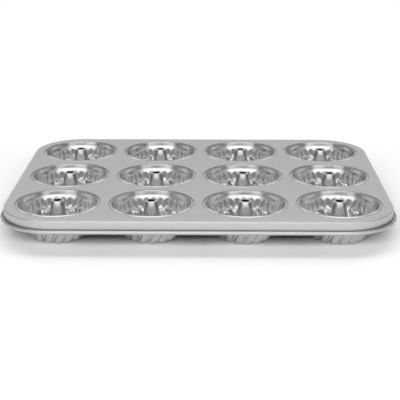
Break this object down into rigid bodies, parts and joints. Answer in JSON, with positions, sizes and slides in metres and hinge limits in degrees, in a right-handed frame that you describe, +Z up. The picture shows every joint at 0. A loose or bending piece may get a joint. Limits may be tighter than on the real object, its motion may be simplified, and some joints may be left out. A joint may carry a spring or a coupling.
{
  "type": "mini ring-cake pan",
  "caption": "Flat coated-steel baking pan with a wired rolled rim and drawn cups, each with swirled flutes and a pierced centre cone, for baking small ring cakes.",
  "frame": {"origin": "on the surface the pan stands on, under the middle of the deck", "axes": "+X along the long side of the deck, +Y from the front row to the back row, +Z up"},
  "size_m": [0.3532, 0.272, 0.0334],
  "materials": {
    "deck_coat": "steel sheet with a silver-grey release coat, fine matt grain",
    "cup_coat": "drawn steel sheet with the same coat, smoother and brighter inside",
    "wire": "bare drawn steel wire, closed inside the rolled rim"
  },
  "bodies": {
    "root": {"deck": "deck_coat", "rim_wire": "wire", "cup_front_1": "cup_coat", "cup_front_2": "cup_coat", "cup_front_3": "cup_coat", "cup_front_4": "cup_coat", "cup_middle_1": "cup_coat", "cup_middle_2": "cup_coat", "cup_middle_3": "cup_coat", "cup_middle_4": "cup_coat", "cup_back_1": "cup_coat", "cup_back_2": "cup_coat", "cup_back_3": "cup_coat", "cup_back_4": "cup_coat"}
  },
  "joints": []
}
